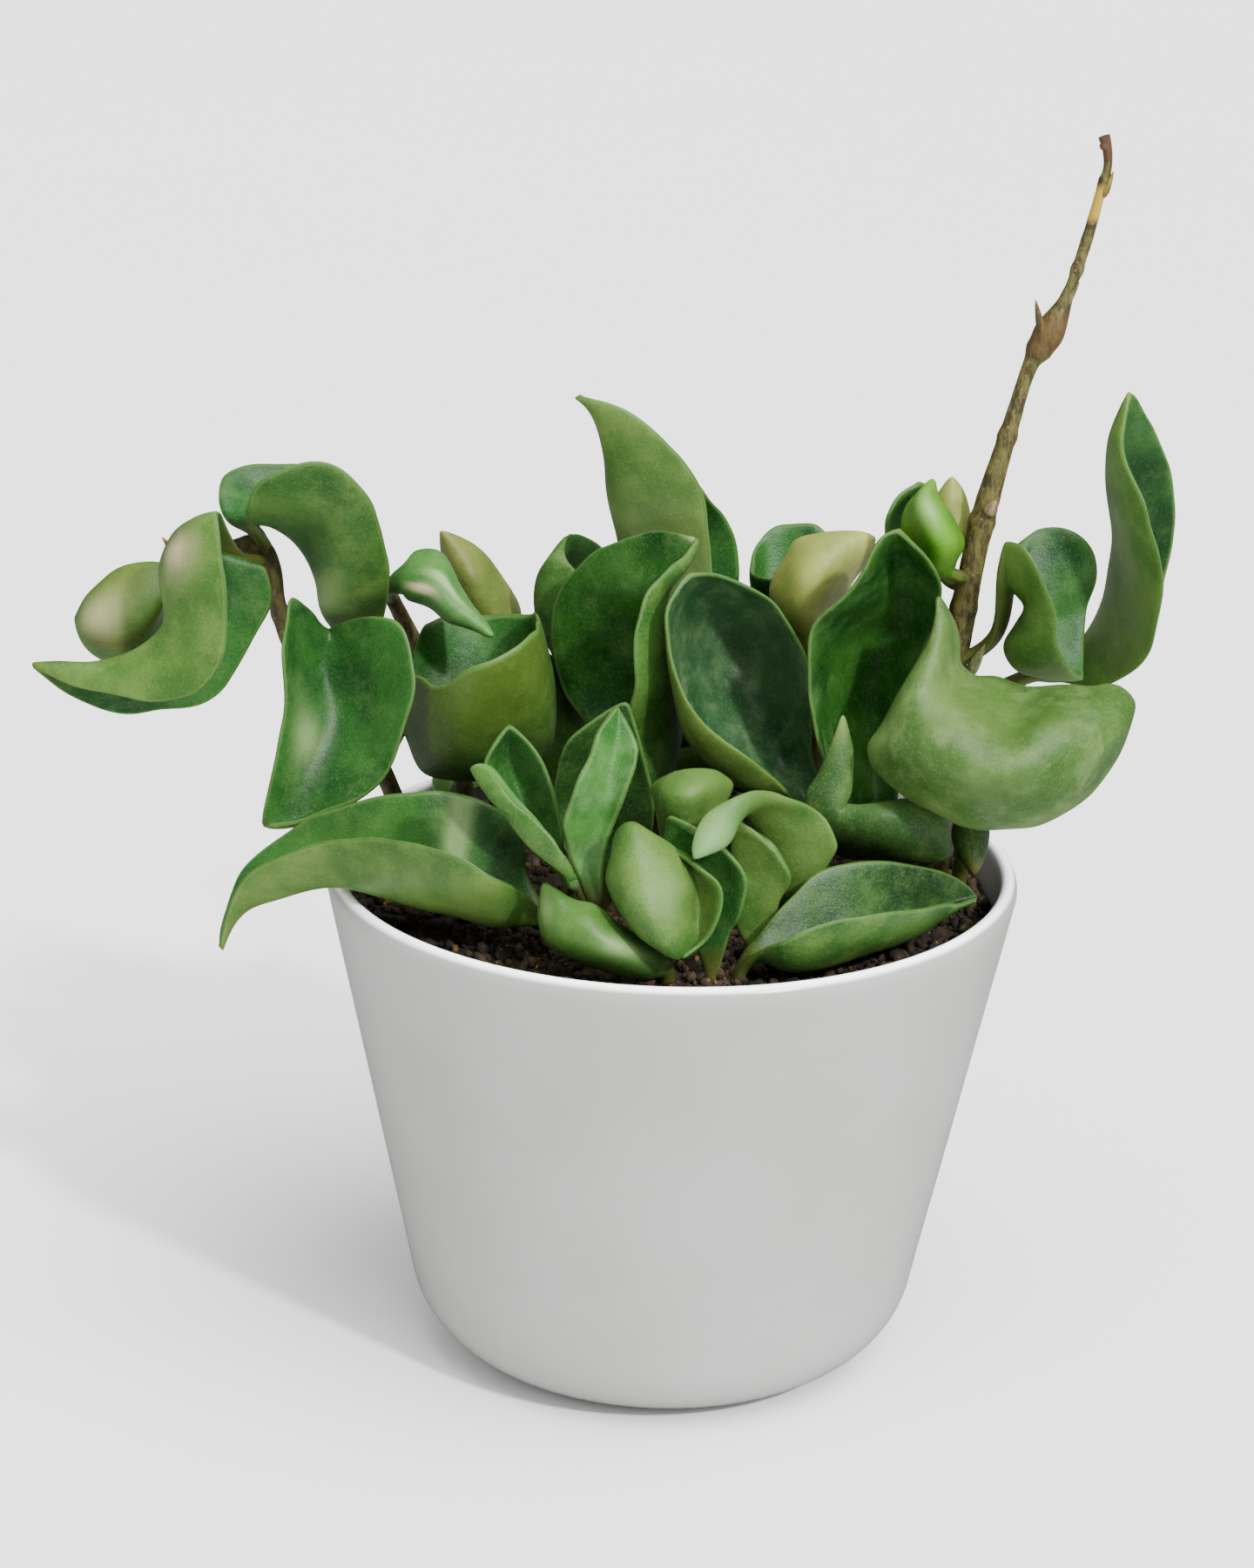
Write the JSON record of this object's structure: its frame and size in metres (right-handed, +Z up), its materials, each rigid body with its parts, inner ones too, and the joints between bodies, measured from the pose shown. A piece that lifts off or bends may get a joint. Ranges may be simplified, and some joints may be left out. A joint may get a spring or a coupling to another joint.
{
  "type": "potted hindu rope plant",
  "caption": "Hindu rope plant with thick curled leaves and a long bare vine, standing in a plain white tapered pot filled with dark soil.",
  "frame": {"origin": "centre of the pot's flat underside, on the surface that it stands on", "axes": "+Z up along the pot's axis, +Y away from the side that the plant is seen from, +X to the right seen from there"},
  "size_m": [0.2117, 0.13, 0.2331],
  "materials": {
    "pot_glaze": "matt white glaze",
    "soil": "loose crumbly dark potting soil",
    "stem_bark": "olive brown mottled bark",
    "leaf_green": "waxy, glossy dark green above and matt yellow green beneath",
    "dried_leaf": "dry and papery"
  },
  "bodies": {
    "root": {"pot": "pot_glaze", "potting_soil": "soil", "vine_stem": "stem_bark", "left_stem": "stem_bark", "centre_stem": "stem_bark", "left_back_stem": "stem_bark", "right_back_stem": "stem_bark", "front_stem": "stem_bark", "left_hook_leaf": "leaf_green", "left_young_leaf": "leaf_green", "left_arch_leaf": "leaf_green", "left_front_leaf": "leaf_green", "cup_leaf": "leaf_green", "scarred_leaf": "leaf_green", "olive_leaf": "leaf_green", "rolled_leaf": "leaf_green", "front_left_leaf": "leaf_green", "thin_leaf": "leaf_green", "spear_leaf": "leaf_green", "hooded_leaf": "leaf_green", "scroll_leaf": "leaf_green", "base_leaf": "leaf_green", "dark_crescent_leaf": "leaf_green", "inner_crescent_leaf": "leaf_green", "outer_crescent_leaf": "leaf_green", "spiky_leaf": "leaf_green", "folded_leaf": "leaf_green", "shaded_leaf": "leaf_green", "oval_leaf": "leaf_green", "tall_back_leaf": "leaf_green", "round_back_leaf": "leaf_green", "pale_back_leaf": "leaf_green", "upright_right_leaf": "leaf_green", "right_lobe_leaf": "leaf_green", "bud_leaf": "leaf_green", "beige_bud_leaf": "leaf_green", "dark_bud_leaf": "leaf_green", "curl_leaf": "leaf_green", "tall_right_leaf": "leaf_green", "flap_leaf": "leaf_green", "dry_tip_leaf": "leaf_green", "front_right_leaf": "leaf_green", "dried_sheath": "dried_leaf", "back_right_leaf": "leaf_green", "back_middle_leaf": "leaf_green", "back_left_leaf": "leaf_green", "upright_back_leaf": "leaf_green"}
  },
  "joints": []
}
